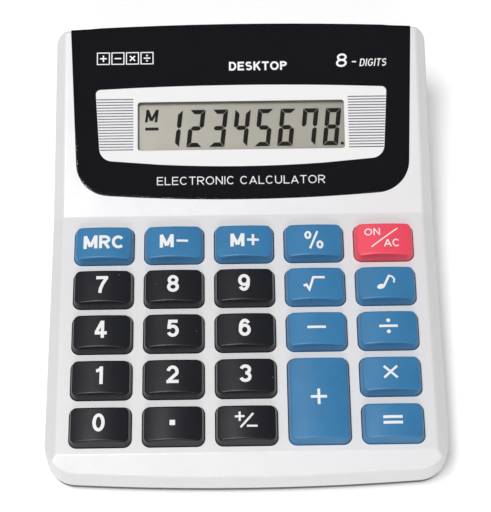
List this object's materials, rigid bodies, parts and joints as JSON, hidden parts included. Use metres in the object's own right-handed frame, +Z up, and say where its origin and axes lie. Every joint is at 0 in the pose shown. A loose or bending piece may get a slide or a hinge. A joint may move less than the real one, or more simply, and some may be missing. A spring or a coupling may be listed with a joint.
{
  "type": "desk calculator",
  "caption": "Wedge-shaped desk calculator with a tilted keypad of pressing keys, a steeper liquid crystal display under a dark lens, and a sliding battery cover underneath.",
  "frame": {"origin": "middle of the footprint, on the surface that the feet stand on", "axes": "+X to the user's right across the keys, +Y away from the user towards the display, +Z up"},
  "size_m": [0.1182, 0.1432, 0.0382],
  "materials": {
    "silver_paint": "fine silver metallic paint on moulded ABS",
    "dark_plastic": "spark-eroded matt dark grey ABS",
    "black_plastic": "matt black ABS",
    "clear_lens": "polished clear acrylic, printed behind in black and white",
    "tape": "black double-sided tape",
    "polariser": "grey-green polarising film",
    "lcd_glass": "thin display glass",
    "lcd_grey": "grey-green reflective film",
    "ribbon_film": "amber flexible film with printed tracks",
    "steel": "zinc-plated steel",
    "board_laminate": "phenolic laminate with green mask",
    "epoxy": "black epoxy",
    "capacitor_can": "blue-sleeved aluminium can",
    "capacitor_ceramic": "orange dipped ceramic",
    "resistor_body": "beige lacquer with colour bands",
    "silicone": "translucent grey silicone rubber",
    "brass": "rolled brass",
    "white_ceramic": "silvered white ceramic",
    "red_wire": "red PVC insulation",
    "black_wire": "black PVC insulation",
    "cell_sleeve": "plain printed sleeve",
    "nickel": "nickel-plated spring steel",
    "foot_rubber": "black rubber",
    "black_key": "satin black moulded ABS with white legend",
    "blue_key": "satin blue moulded ABS with white legend",
    "white_ink": "white printed ink",
    "black_ink": "black printed ink",
    "lcd_ink": "dark liquid crystal segment",
    "red_key": "satin red moulded ABS with white legend"
  },
  "bodies": {
    "root": {"upper_case": "silver_paint", "lower_case": "dark_plastic", "display_lens": "clear_lens", "lens_tape": "tape", "lcd_front_polariser": "polariser", "lcd_front_glass": "lcd_glass", "lcd_rear_glass": "lcd_glass", "lcd_reflector": "lcd_grey", "lcd_holder": "black_plastic", "lcd_ribbon": "ribbon_film", "lcd_screws": "steel", "main_board": "board_laminate", "board_screws": "steel", "chip_blob": "epoxy", "filter_capacitor": "capacitor_can", "disc_capacitors": "capacitor_ceramic", "board_resistors": "resistor_body", "key_mat": "silicone", "buzzer_disc": "brass", "buzzer_ceramic": "white_ceramic", "buzzer_lead_red": "red_wire", "buzzer_lead_black": "black_wire", "battery_cell": "cell_sleeve", "battery_spring": "nickel", "battery_plate": "nickel", "battery_lead_red": "red_wire", "battery_lead_black": "black_wire", "case_screws": "steel", "rubber_feet": "foot_rubber"},
    "key_mrc": {"key_mrc": "blue_key"},
    "key_m_minus": {"key_m_minus": "blue_key"},
    "key_m_plus": {"key_m_plus": "blue_key"},
    "key_percent": {"key_percent": "blue_key"},
    "key_on_ac": {"key_on_ac": "red_key"},
    "key_7": {"key_7": "black_key"},
    "key_8": {"key_8": "black_key"},
    "key_9": {"key_9": "black_key"},
    "key_root": {"key_root": "blue_key"},
    "key_note": {"key_note": "blue_key"},
    "key_4": {"key_4": "black_key"},
    "key_5": {"key_5": "black_key"},
    "key_6": {"key_6": "black_key"},
    "key_minus": {"key_minus": "blue_key"},
    "key_divide": {"key_divide": "blue_key"},
    "key_1": {"key_1": "black_key"},
    "key_2": {"key_2": "black_key"},
    "key_3": {"key_3": "black_key"},
    "key_times": {"key_times": "blue_key"},
    "key_0": {"key_0": "black_key"},
    "key_point": {"key_point": "black_key"},
    "key_sign": {"key_sign": "black_key"},
    "key_plus": {"key_plus": "blue_key"},
    "key_equals": {"key_equals": "blue_key"},
    "battery_cover": {"battery_cover": "dark_plastic"}
  },
  "joints": [
    {"name": "key_mrc_press", "type": "slide", "parent": "root", "child": "key_mrc", "axis": [0, 0.0872, -0.9962], "range_m": [0, 0.0013], "stiffness_N_per_m": 400, "springref_m": -0.0012, "deforming": ["key_mat"]},
    {"name": "key_m_minus_press", "type": "slide", "parent": "root", "child": "key_m_minus", "axis": [0, 0.0872, -0.9962], "range_m": [0, 0.0013], "stiffness_N_per_m": 400, "springref_m": -0.0012, "deforming": ["key_mat"]},
    {"name": "key_m_plus_press", "type": "slide", "parent": "root", "child": "key_m_plus", "axis": [0, 0.0872, -0.9962], "range_m": [0, 0.0013], "stiffness_N_per_m": 400, "springref_m": -0.0012, "deforming": ["key_mat"]},
    {"name": "key_percent_press", "type": "slide", "parent": "root", "child": "key_percent", "axis": [0, 0.0872, -0.9962], "range_m": [0, 0.0013], "stiffness_N_per_m": 400, "springref_m": -0.0012, "deforming": ["key_mat"]},
    {"name": "key_on_ac_press", "type": "slide", "parent": "root", "child": "key_on_ac", "axis": [0, 0.0872, -0.9962], "range_m": [0, 0.0013], "stiffness_N_per_m": 400, "springref_m": -0.0012, "deforming": ["key_mat"]},
    {"name": "key_7_press", "type": "slide", "parent": "root", "child": "key_7", "axis": [0, 0.0872, -0.9962], "range_m": [0, 0.0013], "stiffness_N_per_m": 400, "springref_m": -0.0012, "deforming": ["key_mat"]},
    {"name": "key_8_press", "type": "slide", "parent": "root", "child": "key_8", "axis": [0, 0.0872, -0.9962], "range_m": [0, 0.0013], "stiffness_N_per_m": 400, "springref_m": -0.0012, "deforming": ["key_mat"]},
    {"name": "key_9_press", "type": "slide", "parent": "root", "child": "key_9", "axis": [0, 0.0872, -0.9962], "range_m": [0, 0.0013], "stiffness_N_per_m": 400, "springref_m": -0.0012, "deforming": ["key_mat"]},
    {"name": "key_root_press", "type": "slide", "parent": "root", "child": "key_root", "axis": [0, 0.0872, -0.9962], "range_m": [0, 0.0013], "stiffness_N_per_m": 400, "springref_m": -0.0012, "deforming": ["key_mat"]},
    {"name": "key_note_press", "type": "slide", "parent": "root", "child": "key_note", "axis": [0, 0.0872, -0.9962], "range_m": [0, 0.0013], "stiffness_N_per_m": 400, "springref_m": -0.0012, "deforming": ["key_mat"]},
    {"name": "key_4_press", "type": "slide", "parent": "root", "child": "key_4", "axis": [0, 0.0872, -0.9962], "range_m": [0, 0.0013], "stiffness_N_per_m": 400, "springref_m": -0.0012, "deforming": ["key_mat"]},
    {"name": "key_5_press", "type": "slide", "parent": "root", "child": "key_5", "axis": [0, 0.0872, -0.9962], "range_m": [0, 0.0013], "stiffness_N_per_m": 400, "springref_m": -0.0012, "deforming": ["key_mat"]},
    {"name": "key_6_press", "type": "slide", "parent": "root", "child": "key_6", "axis": [0, 0.0872, -0.9962], "range_m": [0, 0.0013], "stiffness_N_per_m": 400, "springref_m": -0.0012, "deforming": ["key_mat"]},
    {"name": "key_minus_press", "type": "slide", "parent": "root", "child": "key_minus", "axis": [0, 0.0872, -0.9962], "range_m": [0, 0.0013], "stiffness_N_per_m": 400, "springref_m": -0.0012, "deforming": ["key_mat"]},
    {"name": "key_divide_press", "type": "slide", "parent": "root", "child": "key_divide", "axis": [0, 0.0872, -0.9962], "range_m": [0, 0.0013], "stiffness_N_per_m": 400, "springref_m": -0.0012, "deforming": ["key_mat"]},
    {"name": "key_1_press", "type": "slide", "parent": "root", "child": "key_1", "axis": [0, 0.0872, -0.9962], "range_m": [0, 0.0013], "stiffness_N_per_m": 400, "springref_m": -0.0012, "deforming": ["key_mat"]},
    {"name": "key_2_press", "type": "slide", "parent": "root", "child": "key_2", "axis": [0, 0.0872, -0.9962], "range_m": [0, 0.0013], "stiffness_N_per_m": 400, "springref_m": -0.0012, "deforming": ["key_mat"]},
    {"name": "key_3_press", "type": "slide", "parent": "root", "child": "key_3", "axis": [0, 0.0872, -0.9962], "range_m": [0, 0.0013], "stiffness_N_per_m": 400, "springref_m": -0.0012, "deforming": ["key_mat"]},
    {"name": "key_times_press", "type": "slide", "parent": "root", "child": "key_times", "axis": [0, 0.0872, -0.9962], "range_m": [0, 0.0013], "stiffness_N_per_m": 400, "springref_m": -0.0012, "deforming": ["key_mat"]},
    {"name": "key_0_press", "type": "slide", "parent": "root", "child": "key_0", "axis": [0, 0.0872, -0.9962], "range_m": [0, 0.0013], "stiffness_N_per_m": 400, "springref_m": -0.0012, "deforming": ["key_mat"]},
    {"name": "key_point_press", "type": "slide", "parent": "root", "child": "key_point", "axis": [0, 0.0872, -0.9962], "range_m": [0, 0.0013], "stiffness_N_per_m": 400, "springref_m": -0.0012, "deforming": ["key_mat"]},
    {"name": "key_sign_press", "type": "slide", "parent": "root", "child": "key_sign", "axis": [0, 0.0872, -0.9962], "range_m": [0, 0.0013], "stiffness_N_per_m": 400, "springref_m": -0.0012, "deforming": ["key_mat"]},
    {"name": "key_plus_press", "type": "slide", "parent": "root", "child": "key_plus", "axis": [0, 0.0872, -0.9962], "range_m": [0, 0.0013], "stiffness_N_per_m": 400, "springref_m": -0.0012, "deforming": ["key_mat"]},
    {"name": "key_equals_press", "type": "slide", "parent": "root", "child": "key_equals", "axis": [0, 0.0872, -0.9962], "range_m": [0, 0.0013], "stiffness_N_per_m": 400, "springref_m": -0.0012, "deforming": ["key_mat"]},
    {"name": "battery_cover_slide", "type": "slide", "parent": "root", "child": "battery_cover", "axis": [0, 1, 0], "range_m": [0, 0.03]}
  ]
}
